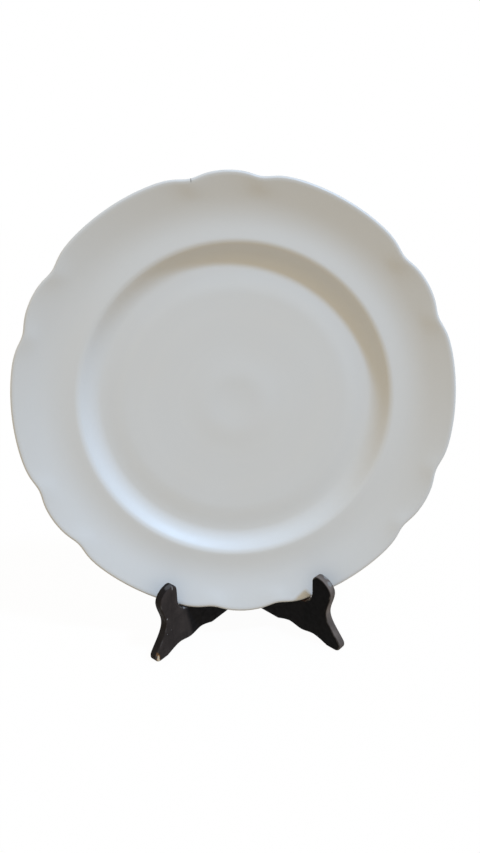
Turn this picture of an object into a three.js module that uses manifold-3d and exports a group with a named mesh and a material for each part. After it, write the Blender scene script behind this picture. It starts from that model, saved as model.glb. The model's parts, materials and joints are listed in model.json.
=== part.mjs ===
// A scalloped porcelain cake plate standing on a folding stand of two black boards.
// Millimetres, +Z up, the table at Z = 0. The viewer stands at -Y and sees the plate's face.
// Each board is drawn flat: "reach" runs forward from the hinge axis, "height" up from the table.
import * as THREE from 'three';
import { mergeVertices } from 'three/addons/utils/BufferGeometryUtils.js';
import Module from 'manifold-3d';

// Plate: heights count up from the foot ring's flat bottom, radii from the plate's axis.
// The verge bends up out of the well and runs on straight to a crease. The rim falls a little from
// the crease, as a slope, and turns up between two shares of its width.
const PLATE_RADIUS = 150;
const PLATE_HEIGHT = 20.5;
const WELL_RADIUS = 91;
const WELL_FLOOR = 5;
const VERGE_WIDTH = 17;
const VERGE_BEND = 9;
const VERGE_RISE = 7.4;
const RIM_WALL = 4.2;
const RIM_FALL = 0.06;
const RIM_TURN_START = 0.1;
const RIM_TURN_END = 0.75;
const EDGE_ROUND = 2;
const FOOT_HEIGHT = 3;
const FOOT_WIDTH = 5;
const FOOT_OUTSET = 1;
const FOOT_DRAFT = 1;
const PLATE_LEAN = 10;

// Scallops: narrow lobes between pairs of soft notches, with wide lobes between them.
const NARROW_LOBES = 6;
const NOTCH_ANGLE = 9;
const NOTCH_SOFTNESS = 3.8;
const NOTCH_DEPTH = 2.9;
const NOTCH_BAND = 18;

// Stand: two boards, each turned by the spread from the middle plane.
const SPREAD = 43;
const BOARD = 6;
const BOARD_SOFTNESS = 0.8;
const SEAT_HEIGHT = 27.2;
const UPRIGHT_HEIGHT = 110;
const UPRIGHT_TOP = 10;
const UPRIGHT_SHOULDER = 7;
const SUPPORT_BELOW_RING = 4;
const SCOOP_START = 1;
const SCOOP_FLOOR_PULL = 5;
const SCOOP_BACK_PULL = 30;

// Lip and foot of each board: reaches count forward from the lip's rear face, rises up from the seat.
const LIP_PLAY = 2.5;
const LIP_RISE = 25.7;
const LIP_CROWN_REACH = 4.2;
const LIP_CROWN_ROUND = 5;
const BELLY_REACH = 15.9;
const BELLY_RISE = 15.8;
const WAIST_REACH = 12.4;
const WAIST_RISE = -0.7;
const NOTCH_FILLET = 8;
const TOE_REACH = 24.7;
const TOE_ROUND = 4.5;
const TOE_TURN = 35;
const FRONT_PAD_START = 13.5;
const BUMP_REACH = -10;
const REAR_PAD_END = -32.5;
const ARCH_RISE = 3.4;
const BUMP_RISE = 1.8;

// Hinges: two small butt hinges on the boards' rear edges, with countersunk screws.
const HINGE_FROM_TABLE = 25;
const HINGE_FROM_TOP = 27;
const LEAF_HEIGHT = 22;
const LEAF_THICK = 0.9;
const LEAF_INSET = 0.4;
const KNUCKLE_RADIUS = 2;
const KNUCKLE_COUNT = 3;
const PIN_RADIUS = 0.9;
const SCREW_PITCH = 13;
const SCREW_LENGTH = 9;
const SCREW_RADIUS = 0.65;
const SCREW_TIP = 2;
const HEAD_RADIUS = 1.3;
const HEAD_DEPTH = 0.8;
const SLOT_WIDTH = 0.4;
const SLOT_DEPTH = 0.35;

// Clearances between separate pieces.
const SEAT_GAP = 0.4;
const FOLD_GAP = 0.4;
const KNUCKLE_GAP = 0.3;
const PIN_GAP = 0.2;
const SCREW_GAP = 0.25;

// Facets, and how far the handles of the board's curves reach along them.
const PLATE_STEPS = 180;
const RIM_RINGS = 6;
const RIM_BACK_RINGS = 3;
const VERGE_RINGS = 3;
const EDGE_STEPS = 4;
const BEVEL_STEPS = 2;
const SWEEP_PULL = 1 / 3;
const CROWN_PULL = 1 / 2;
const CURVE_STEPS = 8;
const ROUND_STEPS = 12;
const CUT_MARGIN = 1;
const MERGE_DISTANCE = 1e-4;

const spread = THREE.MathUtils.degToRad(SPREAD);
const lean = THREE.MathUtils.degToRad(PLATE_LEAN);
const quarter = Math.PI / 2;
const fullTurn = 2 * Math.PI;

const porcelain = { color: 0xe8eae8, roughness: 0.18, metalness: 0 };
const lacquer = { color: 0x1c1917, roughness: 0.35, metalness: 0 };
const brass = { color: 0xb08d4c, roughness: 0.35, metalness: 1 };

const wasm = await Module();
wasm.setup();

function named(name, geometry, finish) {
  const mesh = new THREE.Mesh(geometry, new THREE.MeshStandardMaterial(finish));
  mesh.name = name;
  return mesh;
}

function toSolid(geometry) {
  const bare = geometry.clone();
  bare.deleteAttribute('normal');
  bare.deleteAttribute('uv');
  const merged = mergeVertices(bare, MERGE_DISTANCE);
  const vertProperties = Float32Array.from(merged.attributes.position.array);
  const triVerts = Uint32Array.from(merged.index.array);
  return new wasm.Manifold(new wasm.Mesh({ numProp: 3, vertProperties, triVerts }));
}

function toGeometry(solid) {
  const mesh = solid.getMesh();
  const geometry = new THREE.BufferGeometry();
  geometry.setAttribute('position', new THREE.BufferAttribute(mesh.vertProperties, 3));
  geometry.setIndex(new THREE.BufferAttribute(mesh.triVerts, 1));
  geometry.computeVertexNormals();
  return geometry;
}

function subtractAll(solid, cutters) {
  return cutters.reduce((rest, cutter) => rest.subtract(cutter), solid);
}

// Plate

const wellTop = FOOT_HEIGHT + WELL_FLOOR;
const rimStart = WELL_RADIUS + VERGE_WIDTH;
const rimEnd = PLATE_RADIUS - EDGE_ROUND;
const rimLow = wellTop + VERGE_RISE;
const footRadius = WELL_RADIUS + FOOT_OUTSET;
const edgeHeight = PLATE_HEIGHT - EDGE_ROUND;

// How far the edge is drawn in at an angle (radians) from a narrow lobe's middle.
function notchDip(angle) {
  const period = fullTurn / NARROW_LOBES;
  const fromLobe = THREE.MathUtils.radToDeg(Math.abs(angle - period * Math.round(angle / period)));
  return NOTCH_DEPTH / Math.cosh((fromLobe - NOTCH_ANGLE) / NOTCH_SOFTNESS) ** 2;
}

// Rise of a face that turns evenly from level to a slope of 1 over its first stretch.
function evenTurn(along, stretch) {
  const turned = Math.min(along, stretch);
  return turned ** 2 / (2 * stretch) + along - turned;
}

// Rise of a face that turns softly from level to a slope of 1 between two places.
function softTurn(along, start, end) {
  const share = THREE.MathUtils.clamp((along - start) / (end - start), 0, 1);
  return (end - start) * (share ** 3 - share ** 4 / 2) + Math.max(along - end, 0);
}

// Height of the plate's face at a radius, from the well's edge outwards.
function faceHeight(radius) {
  if (radius <= rimStart) {
    const verge = (width) => evenTurn(width, VERGE_BEND);
    return wellTop + (VERGE_RISE * verge(radius - WELL_RADIUS)) / verge(VERGE_WIDTH);
  }
  const rimWidth = rimEnd - rimStart;
  const rim = (width) => softTurn(width, RIM_TURN_START * rimWidth, RIM_TURN_END * rimWidth);
  const climb = (PLATE_HEIGHT - rimLow + RIM_FALL * rimWidth) / rim(rimWidth);
  return rimLow + climb * rim(radius - rimStart) - RIM_FALL * (radius - rimStart);
}

function steps(from, to, count) {
  return Array.from({ length: count }, (_, i) => from + ((to - from) * (i + 1)) / (count + 1));
}

// Section of the plate from the middle of its underside, round the edge, to the middle of the well.
function plateSection() {
  const points = [new THREE.Vector2(0, FOOT_HEIGHT)];
  const add = (radius, height) => points.push(new THREE.Vector2(radius, height));
  const footInner = footRadius - FOOT_WIDTH;
  add(footInner - FOOT_DRAFT, FOOT_HEIGHT);
  add(footInner, 0);
  add(footRadius, 0);
  add(footRadius + FOOT_DRAFT, FOOT_HEIGHT);
  add(rimStart + FOOT_DRAFT, rimLow - RIM_WALL);
  for (const radius of steps(rimStart, rimEnd, RIM_BACK_RINGS)) add(radius, faceHeight(radius) - RIM_WALL);
  const edge = new THREE.EllipseCurve(rimEnd, edgeHeight, EDGE_ROUND, EDGE_ROUND, -quarter, quarter);
  for (const point of edge.getPoints(EDGE_STEPS)) add(point.x, point.y);
  for (const radius of steps(rimEnd, rimStart, RIM_RINGS)) add(radius, faceHeight(radius));
  add(rimStart, rimLow);
  for (const radius of steps(rimStart, WELL_RADIUS, VERGE_RINGS)) add(radius, faceHeight(radius));
  add(WELL_RADIUS, wellTop);
  add(0, wellTop);
  return points;
}

// The section turned about the plate's axis, then drawn in at the notches towards the edge.
function plateGeometry() {
  const halfStep = Math.PI / PLATE_STEPS;
  const geometry = new THREE.LatheGeometry(plateSection(), PLATE_STEPS, halfStep);
  geometry.rotateX(quarter);
  const position = geometry.attributes.position;
  for (let i = 0; i < position.count; i += 1) {
    const x = position.getX(i);
    const y = position.getY(i);
    const radius = Math.hypot(x, y);
    const share = THREE.MathUtils.smoothstep(radius, PLATE_RADIUS - NOTCH_BAND, rimEnd);
    const drawn = share === 0 ? 1 : 1 - (share * notchDip(Math.atan2(x, y))) / radius;
    position.setXY(i, x * drawn, y * drawn);
  }
  return geometry;
}

// Where the plate stands: the middle of its round edge passes over the seats.

// How far below the plate's axis the middle of the round edge lies, at a distance to the side.
function edgeDrop(side) {
  const radius = rimEnd - notchDip(Math.asin(side / rimEnd));
  return Math.sqrt(radius ** 2 - side ** 2);
}

const boardRear = KNUCKLE_RADIUS + SEAT_GAP;
const backDepth = (edgeHeight + SEAT_GAP) / Math.cos(lean);
const backRise = UPRIGHT_HEIGHT - SEAT_HEIGHT - EDGE_ROUND - SEAT_GAP;
const seat = boardRear + UPRIGHT_TOP + (backDepth + backRise * Math.tan(lean)) / Math.cos(spread);
const seatSide = seat * Math.sin(spread) + FOLD_GAP * Math.cos(spread);
const seatBack = FOLD_GAP * Math.sin(spread) - seat * Math.cos(spread);

// The seat's floor slopes as the plate's edge does where it crosses the board.
const crossing = BOARD / Math.cos(spread);
const edgeClimb = edgeDrop(seatSide) - edgeDrop(seatSide + crossing);
const floorRun = crossing * Math.sin(spread) - edgeClimb * Math.sin(lean) * Math.cos(spread);
const floorSlope = Math.atan2(edgeClimb * Math.cos(lean), floorRun);
const edgeRise = SEAT_HEIGHT + (EDGE_ROUND + SEAT_GAP) / Math.cos(floorSlope);
const lip = seat + floorRun + EDGE_ROUND / Math.cos(spread) + LIP_PLAY;

const plateUp = new THREE.Vector3(0, Math.sin(lean), Math.cos(lean));
const plateFront = new THREE.Vector3(0, -Math.cos(lean), Math.sin(lean));
const footCentre = new THREE.Vector3(0, seatBack, edgeRise)
  .addScaledVector(plateUp, edgeDrop(seatSide))
  .addScaledVector(plateFront, -edgeHeight);

// Reach of a board's upright at a height, a seat gap behind the plane of the foot ring.
function uprightReach(height) {
  const plane = plateFront.dot(footCentre) - SEAT_GAP;
  const forward = (plane - height * Math.sin(lean)) / Math.cos(lean);
  return (forward + FOLD_GAP * Math.sin(spread)) / Math.cos(spread);
}

// Stand boards

// Lip, waist and toe of the board, from the front pad up and over to the notch's rear face.
function drawFront(shape) {
  const toe = lip + TOE_REACH - TOE_ROUND;
  const turn = THREE.MathUtils.degToRad(TOE_TURN);
  const waist = new THREE.Vector2(lip + WAIST_REACH, SEAT_HEIGHT + WAIST_RISE);
  const belly = new THREE.Vector2(lip + BELLY_REACH, SEAT_HEIGHT + BELLY_RISE);
  const crown = new THREE.Vector2(lip + LIP_CROWN_REACH, SEAT_HEIGHT + LIP_RISE);
  shape.lineTo(toe, 0);
  shape.absarc(toe, TOE_ROUND, TOE_ROUND, -quarter, turn, false);
  const sweep = (waist.y - TOE_ROUND) * SWEEP_PULL;
  const leave = shape.currentPoint.clone();
  leave.add(new THREE.Vector2(-Math.sin(turn), Math.cos(turn)).multiplyScalar(sweep));
  shape.bezierCurveTo(leave.x, leave.y, waist.x, waist.y - sweep, waist.x, waist.y);
  const swell = (belly.y - waist.y) * SWEEP_PULL;
  shape.bezierCurveTo(waist.x, waist.y + swell, belly.x, belly.y - swell, belly.x, belly.y);
  const brow = (crown.y - belly.y) * CROWN_PULL;
  const over = (belly.x - crown.x) * CROWN_PULL;
  shape.bezierCurveTo(belly.x, belly.y + brow, crown.x + over, crown.y, crown.x, crown.y);
  const back = (crown.x - lip) * CROWN_PULL;
  const corner = crown.y - LIP_CROWN_ROUND;
  const fall = LIP_CROWN_ROUND * CROWN_PULL;
  shape.bezierCurveTo(crown.x - back, crown.y, lip, corner + fall, lip, corner);
}

// Notch, scoop and upright of the board, from the lip's rear face to the top of the rear edge.
function drawBack(shape) {
  const fillet = new THREE.Vector2(lip - NOTCH_FILLET, SEAT_HEIGHT);
  const turn = floorSlope - quarter;
  const tangent = fillet.x + NOTCH_FILLET * Math.cos(turn);
  fillet.y += (tangent - seat) * Math.tan(floorSlope) - NOTCH_FILLET * Math.sin(turn);
  shape.lineTo(lip, fillet.y);
  shape.absarc(fillet.x, fillet.y, NOTCH_FILLET, 0, turn, true);
  const floorAt = (behind) => SEAT_HEIGHT - behind * Math.tan(floorSlope);
  shape.lineTo(seat - SCOOP_START, floorAt(SCOOP_START));
  const ringLow = footCentre.z - footRadius * Math.cos(lean);
  const support = ringLow - SUPPORT_BELOW_RING;
  const pull = SCOOP_START + SCOOP_FLOOR_PULL;
  const rise = support - SCOOP_BACK_PULL;
  shape.bezierCurveTo(seat - pull, floorAt(pull), uprightReach(rise), rise, uprightReach(support), support);
  const shoulder = UPRIGHT_HEIGHT - UPRIGHT_SHOULDER;
  const front = uprightReach(shoulder);
  const middle = (front + boardRear) / 2;
  shape.lineTo(front, shoulder);
  shape.quadraticCurveTo(uprightReach(UPRIGHT_HEIGHT), UPRIGHT_HEIGHT, middle, UPRIGHT_HEIGHT);
  shape.quadraticCurveTo(boardRear, UPRIGHT_HEIGHT, boardRear, shoulder);
}

function legOutline() {
  const shape = new THREE.Shape();
  const bump = lip + BUMP_REACH;
  const rearArch = (bump + lip + REAR_PAD_END) / 2;
  const frontArch = (bump + lip + FRONT_PAD_START) / 2;
  shape.moveTo(boardRear, 0);
  shape.lineTo(lip + REAR_PAD_END, 0);
  shape.splineThru([
    new THREE.Vector2(rearArch, ARCH_RISE),
    new THREE.Vector2(bump, BUMP_RISE),
    new THREE.Vector2(frontArch, ARCH_RISE),
    new THREE.Vector2(lip + FRONT_PAD_START, 0),
  ]);
  drawFront(shape);
  drawBack(shape);
  shape.closePath();
  return shape;
}

// A board with softened edges, lying to one side (1 right, -1 left) of the hinge axis.
function legGeometry(side, screwHoles) {
  const board = new THREE.ExtrudeGeometry(legOutline(), {
    depth: BOARD - 2 * BOARD_SOFTNESS,
    curveSegments: CURVE_STEPS,
    bevelThickness: BOARD_SOFTNESS,
    bevelSize: BOARD_SOFTNESS,
    bevelOffset: -BOARD_SOFTNESS,
    bevelSegments: BEVEL_STEPS,
  });
  board.rotateX(quarter);
  board.translate(0, BOARD - BOARD_SOFTNESS - BOARD / 2 + side * (FOLD_GAP + BOARD / 2), 0);
  return toGeometry(subtractAll(toSolid(board), screwHoles));
}

// Hinges

const hingeHeights = { lower: HINGE_FROM_TABLE, upper: UPRIGHT_HEIGHT - HINGE_FROM_TOP };
const leafRear = KNUCKLE_RADIUS - LEAF_THICK;
const leafNear = KNUCKLE_RADIUS + KNUCKLE_GAP;
const leafFar = FOLD_GAP + BOARD - LEAF_INSET;
const screwSide = (leafNear + leafFar) / 2;

function upright(radius, height, middle) {
  const geometry = new THREE.CylinderGeometry(radius, radius, height, ROUND_STEPS);
  geometry.rotateX(quarter);
  geometry.translate(0, 0, middle);
  return geometry;
}

// A slab of the leaf's thickness between two distances from the hinge axis.
function slab(side, from, to, height, middle) {
  const geometry = new THREE.BoxGeometry(LEAF_THICK, to - from, height);
  geometry.translate(leafRear + LEAF_THICK / 2, (side * (from + to)) / 2, middle);
  return geometry;
}

// Body of a countersunk screw grown by a clearance, pointing forward from the leaf's rear face.
function screwBody(grow, above) {
  const section = [
    new THREE.Vector2(0, -SCREW_LENGTH - grow),
    new THREE.Vector2(SCREW_RADIUS + grow, SCREW_TIP - SCREW_LENGTH - grow),
    new THREE.Vector2(SCREW_RADIUS + grow, -HEAD_DEPTH),
    new THREE.Vector2(HEAD_RADIUS + grow, 0),
    new THREE.Vector2(HEAD_RADIUS + grow, above),
    new THREE.Vector2(0, above),
  ];
  const sound = section.filter((point, i) => i === 0 || !point.equals(section[i - 1]));
  const geometry = new THREE.LatheGeometry(sound, ROUND_STEPS);
  geometry.rotateZ(quarter);
  return geometry;
}

function screwPlaces(side, middle) {
  const ends = [middle - SCREW_PITCH / 2, middle + SCREW_PITCH / 2];
  return ends.map((height) => new THREE.Vector3(leafRear, side * screwSide, height));
}

function screwHoles(side, middle) {
  return screwPlaces(side, middle).map((place) => {
    const hole = screwBody(SCREW_GAP, CUT_MARGIN);
    hole.translate(place.x, place.y, place.z);
    return toSolid(hole);
  });
}

function screwGeometry() {
  const slot = new THREE.BoxGeometry(2 * SLOT_DEPTH, SLOT_WIDTH, 2 * (HEAD_RADIUS + CUT_MARGIN));
  return toGeometry(toSolid(screwBody(0, 0)).subtract(toSolid(slot)));
}

// A leaf with its share of the knuckles: the left has the first, third and so on.
function leafGeometry(side, middle) {
  const pitch = LEAF_HEIGHT / KNUCKLE_COUNT;
  let leaf = toSolid(slab(side, leafNear, leafFar, LEAF_HEIGHT, middle));
  for (let i = side < 0 ? 0 : 1; i < KNUCKLE_COUNT; i += 2) {
    const at = middle - LEAF_HEIGHT / 2 + i * pitch + pitch / 2;
    const height = pitch - KNUCKLE_GAP;
    leaf = leaf.add(toSolid(slab(side, 0, leafNear + LEAF_THICK, height, at)));
    leaf = leaf.add(toSolid(upright(KNUCKLE_RADIUS, height, at)));
  }
  const bore = toSolid(upright(PIN_RADIUS + PIN_GAP, LEAF_HEIGHT + 2 * CUT_MARGIN, middle));
  return toGeometry(subtractAll(leaf, [bore, ...screwHoles(side, middle)]));
}

// One half of the stand: its board, hinge leaves and screws, turned out to the spread.
function standHalf(side) {
  const word = side < 0 ? 'left' : 'right';
  const half = new THREE.Group();
  half.rotation.z = side * spread - quarter;
  const holes = Object.values(hingeHeights).flatMap((middle) => screwHoles(side, middle));
  half.add(named(`${word}_leg`, legGeometry(side, holes), lacquer));
  for (const [level, middle] of Object.entries(hingeHeights)) {
    half.add(named(`${level}_hinge_${word}_leaf`, leafGeometry(side, middle), brass));
    screwPlaces(side, middle).forEach((place, i) => {
      const screw = named(`${level}_hinge_${word}_screw_${i + 1}`, screwGeometry(), brass);
      screw.position.copy(place);
      half.add(screw);
    });
  }
  return half;
}

function hingePins() {
  return Object.entries(hingeHeights).map(([level, middle]) => (
    named(`${level}_hinge_pin`, upright(PIN_RADIUS, LEAF_HEIGHT, middle), brass)
  ));
}

function leaningPlate() {
  const plate = named('plate', plateGeometry(), porcelain);
  plate.rotation.x = quarter - lean;
  plate.position.copy(footCentre);
  return plate;
}

// The whole object, moved so that the middle of its box stands over the origin.
const model = new THREE.Group();
model.add(leaningPlate(), standHalf(-1), standHalf(1), ...hingePins());
model.updateMatrixWorld(true);
const box = new THREE.Box3().setFromObject(model, true);
model.position.y = -(box.min.y + box.max.y) / 2;
model.updateMatrixWorld(true);

export default model;
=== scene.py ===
"""Looks of a scalloped porcelain cake plate on a folding stand of two black lacquered boards.

Metres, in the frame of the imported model: +X to the viewer's right, +Y to the back, +Z up from the table.
A board is drawn flat in its own frame: X is the reach forward from the hinge axis, Y runs across the
board and Z is the height over the table. The plate is drawn lying down, with its foot ring at Z = 0.
"""

import json
import logging
import math
from dataclasses import dataclass
from enum import Enum

import bmesh
import bpy
from mathutils import Matrix, Vector
from mathutils.geometry import interpolate_bezier


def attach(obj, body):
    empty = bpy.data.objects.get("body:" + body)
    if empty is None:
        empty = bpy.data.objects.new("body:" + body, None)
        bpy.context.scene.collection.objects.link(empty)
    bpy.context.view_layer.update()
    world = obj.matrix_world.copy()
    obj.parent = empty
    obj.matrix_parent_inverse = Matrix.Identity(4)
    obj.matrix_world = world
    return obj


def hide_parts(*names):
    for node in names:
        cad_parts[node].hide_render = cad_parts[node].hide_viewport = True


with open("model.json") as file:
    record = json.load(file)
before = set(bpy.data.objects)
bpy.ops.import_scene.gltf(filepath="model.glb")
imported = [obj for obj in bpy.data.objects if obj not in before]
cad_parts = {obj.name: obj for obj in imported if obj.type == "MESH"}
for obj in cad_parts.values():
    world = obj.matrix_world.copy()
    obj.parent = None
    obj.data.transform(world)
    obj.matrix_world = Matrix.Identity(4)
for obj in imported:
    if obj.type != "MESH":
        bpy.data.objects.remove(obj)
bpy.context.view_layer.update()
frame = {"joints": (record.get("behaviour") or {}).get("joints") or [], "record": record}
QUARTER = math.pi / 2
FULL_TURN = 2 * math.pi
MERGE_DISTANCE = 1e-6
RING_TOLERANCE = 1e-5
NOISE_MEAN = 0.5
NOISE_SPAN = (0.3, 0.7)
CLOUD_SPAN = (0.32, 0.68)
DOT_SPAN = (0.0, 0.4)
WEAR_SPAN = (0.62, 0.82)
SPOT_SPAN = (1.1, 0.75)
SPOT_NOISE = 900.0

Socket = bpy.types.NodeSocket
Tree = bpy.types.NodeTree
Piece = bpy.types.Object
Shape = bmesh.types.BMesh
Colour = tuple[float, float, float]
Triple = tuple[float, float, float]
Pair = tuple[float, float]
Value = float | Colour | Socket
WHITE: Colour = (1.0, 1.0, 1.0)

log = logging.getLogger("cake_plate")


class Side(Enum):
    """The two halves of the stand, as the viewer sees them."""

    LEFT = -1
    RIGHT = 1

    @property
    def word(self) -> str:
        """The side's name in the names of nodes."""
        return self.name.lower()

    @property
    def body(self) -> str:
        """The body that this half of the stand rides on."""
        return f"{self.word}_half"


class Level(Enum):
    """The two hinges, by the height of their middles over the table."""

    LOWER = 0.025
    UPPER = 0.083

    @property
    def word(self) -> str:
        """The hinge's name in the names of nodes."""
        return self.name.lower()


class Wear(Enum):
    """What a worn spot of the lacquer shows."""

    BARE = "bare"
    STAINED = "stained"
    BROWN = "brown"
    RUBBED = "rubbed"
    DUSTY = "dusty"


def opaque(colour: Colour) -> tuple[float, float, float, float]:
    """The colour as a socket takes it."""
    return (*colour, 1.0)


class Sketch:
    """A node tree being drawn, with short calls that add nodes and link them."""

    def __init__(self, tree: Tree) -> None:
        """Starts on an empty tree.

        Args:
            tree: The tree of a material, a world or a group.
        """
        self.tree = tree
        tree.nodes.clear()

    def add(self, kind: str, inputs: dict | None = None, **settings: object) -> bpy.types.Node:
        """Adds a node, then sets or links its inputs.

        Args:
            kind: The node's type.
            inputs: Values or source sockets by the name or number of the input.
            **settings: Properties of the node.

        Returns:
            The new node.
        """
        node = self.tree.nodes.new(kind)
        for name, value in settings.items():
            setattr(node, name, value)
        for name, value in (inputs or {}).items():
            self.feed(node.inputs[name], value)
        return node

    def feed(self, socket: Socket, value: object) -> None:
        """Links a source to a socket, or sets the socket's own value."""
        if isinstance(value, Socket):
            self.tree.links.new(value, socket)
        else:
            socket.default_value = value

    def math(self, operation: str, first: Value, second: Value = 0.0) -> Socket:
        """A sum, product or other operation on two values."""
        return self.add("ShaderNodeMath", {0: first, 1: second}, operation=operation).outputs[0]

    def vector(self, operation: str, first: Value, second: Value = (0.0, 0.0, 0.0)) -> bpy.types.Node:
        """An operation on two vectors."""
        return self.add("ShaderNodeVectorMath", {0: first, 1: second}, operation=operation)

    def mix(self, share: Value, first: Value, second: Value) -> Socket:
        """A blend of two colours.

        Args:
            share: How much of the second colour shows, 0 to 1.
            first: A colour or its socket.
            second: A colour or its socket.

        Returns:
            The blended colour.
        """
        ends = [opaque(end) if isinstance(end, tuple) else end for end in (first, second)]
        node = self.add("ShaderNodeMix", data_type="RGBA")
        sockets = {socket.name: socket for socket in node.inputs if socket.enabled}
        for name, value in zip(("Factor", "A", "B"), (share, *ends)):
            self.feed(sockets[name], value)
        return next(socket for socket in node.outputs if socket.enabled)

    def remap(self, value: Value, source: Pair, target: Pair = (0.0, 1.0)) -> Socket:
        """A value eased from one span to another.

        Args:
            value: The value to remap.
            source: The span that it comes from.
            target: The span that it goes to.

        Returns:
            The remapped value, held inside the target span.
        """
        spans = {"From Min": source[0], "From Max": source[1], "To Min": target[0], "To Max": target[1]}
        node = self.add("ShaderNodeMapRange", {"Value": value, **spans}, interpolation_type="SMOOTHSTEP")
        return node.outputs["Result"]

    def noise(self, vector: Value, scale: Value, detail: float = 3.0) -> Socket:
        """Soft noise over the surface, about 0.5 in the mean."""
        inputs = {"Vector": vector, "Scale": scale, "Detail": detail}
        return self.add("ShaderNodeTexNoise", inputs).outputs["Fac"]

    def place(self, matrix: Matrix) -> Socket:
        """Coordinates in a piece's own frame, from its object coordinates.

        Args:
            matrix: Where the piece's own frame stands in the model's frame.

        Returns:
            The vector in the piece's own frame.
        """
        source = self.add("ShaderNodeTexCoord").outputs["Object"]
        turn = matrix.to_euler()
        inputs = {"Vector": source, "Location": matrix.translation, "Rotation": turn}
        return self.add("ShaderNodeMapping", inputs, vector_type="TEXTURE").outputs["Vector"]

    def use(self, group: Tree, inputs: dict) -> Socket:
        """Places a shared effect and gives its only output."""
        return self.add("ShaderNodeGroup", inputs, node_tree=group).outputs[0]

    def attribute(self, name: str) -> Socket:
        """A value that the piece's mesh carries."""
        return self.add("ShaderNodeAttribute", attribute_name=name).outputs["Fac"]

    def bump(self, height: Value, distance: float) -> Socket:
        """Normals that a height over the surface gives, at a distance in metres."""
        inputs = {"Height": height, "Distance": distance, "Strength": 1.0}
        return self.add("ShaderNodeBump", inputs).outputs["Normal"]


@dataclass(frozen=True)
class Effects:
    """Effects that more than one finish uses, each a node group built once."""

    cloud: Tree
    specks: Tree
    edge_wear: Tree
    spot: Tree

    @classmethod
    def build(cls) -> "Effects":
        """Builds the four groups."""
        return cls(cls._cloud(), cls._specks(), cls._edge_wear(), cls._spot())

    @staticmethod
    def _start(name: str, inputs: dict[str, str], output: str) -> tuple[Sketch, dict, Socket]:
        """Starts a group with named sockets.

        Args:
            name: The group's name.
            inputs: Socket types by input name.
            output: The name of its one output, a value.

        Returns:
            The sketch of the group, its input sockets by name, and its output socket.
        """
        tree = bpy.data.node_groups.new(name, "ShaderNodeTree")
        for label, kind in inputs.items():
            tree.interface.new_socket(name=label, in_out="INPUT", socket_type=f"NodeSocket{kind}")
        tree.interface.new_socket(name=output, in_out="OUTPUT", socket_type="NodeSocketFloat")
        sketch = Sketch(tree)
        sockets = {socket.name: socket for socket in sketch.add("NodeGroupInput").outputs}
        return sketch, sockets, sketch.add("NodeGroupOutput").inputs[output]

    @classmethod
    def _cloud(cls) -> Tree:
        """Broad soft patches, 0 to 1.

        Returns:
            The group.
        """
        sketch, given, out = cls._start("cloud", {"Vector": "Vector", "Scale": "Float"}, "Cloud")
        soft = sketch.noise(given["Vector"], given["Scale"], detail=4.0)
        sketch.feed(out, sketch.remap(soft, CLOUD_SPAN))
        return sketch.tree

    @classmethod
    def _specks(cls) -> Tree:
        """Small scattered dots; Share is the part of the cells that has one.

        Returns:
            The group.
        """
        sockets = {"Vector": "Vector", "Scale": "Float", "Size": "Float", "Share": "Float"}
        sketch, given, out = cls._start("specks", sockets, "Mask")
        cells = sketch.add("ShaderNodeTexVoronoi", {"Vector": given["Vector"], "Scale": given["Scale"]})
        chance = sketch.add("ShaderNodeSeparateColor", {"Color": cells.outputs["Color"]})
        chosen = sketch.math("LESS_THAN", chance.outputs["Red"], given["Share"])
        reach = sketch.math("MULTIPLY", given["Size"], chance.outputs["Green"])
        near = sketch.math("SUBTRACT", 1.0, sketch.math("DIVIDE", cells.outputs["Distance"], reach))
        dot = sketch.remap(near, DOT_SPAN)
        sketch.feed(out, sketch.math("MULTIPLY", dot, chosen))
        return sketch.tree

    @classmethod
    def _edge_wear(cls) -> Tree:
        """Ragged wear along the edges that the mesh marks.

        Returns:
            The group.
        """
        sockets = {"Edge": "Float", "Vector": "Vector", "Scale": "Float", "Amount": "Float"}
        sketch, given, out = cls._start("edge_wear", sockets, "Mask")
        ragged = sketch.noise(given["Vector"], given["Scale"], detail=6.0)
        level = sketch.math("ADD", sketch.math("MULTIPLY", given["Edge"], ragged), given["Amount"])
        sketch.feed(out, sketch.remap(level, WEAR_SPAN))
        return sketch.tree

    @classmethod
    def _spot(cls) -> Tree:
        """One worn spot with a ragged border.

        Returns:
            The group.
        """
        sockets = {"Vector": "Vector", "Centre": "Vector", "Reach": "Vector"}
        sketch, given, out = cls._start("spot", sockets, "Mask")
        away = sketch.vector("SUBTRACT", given["Vector"], given["Centre"]).outputs["Vector"]
        share = sketch.vector("DIVIDE", away, given["Reach"])
        ragged = sketch.math("SUBTRACT", sketch.noise(given["Vector"], SPOT_NOISE), NOISE_MEAN)
        size = sketch.vector("LENGTH", share.outputs["Vector"]).outputs["Value"]
        border = sketch.math("ADD", size, ragged)
        sketch.feed(out, sketch.remap(border, SPOT_SPAN))
        return sketch.tree


@dataclass(frozen=True)
class Specks:
    """How one finish scatters the shared specks."""

    scale: float
    size: float
    share: float

    def mask(self, sketch: Sketch, effects: Effects, own: Socket) -> Socket:
        """1 on the specks, 0 between them.

        Args:
            sketch: The sketch of the material.
            effects: The shared effects.
            own: Coordinates in the piece's own frame.

        Returns:
            The mask.
        """
        inputs = {"Vector": own, "Scale": self.scale, "Size": self.size, "Share": self.share}
        return sketch.use(effects.specks, inputs)


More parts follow.
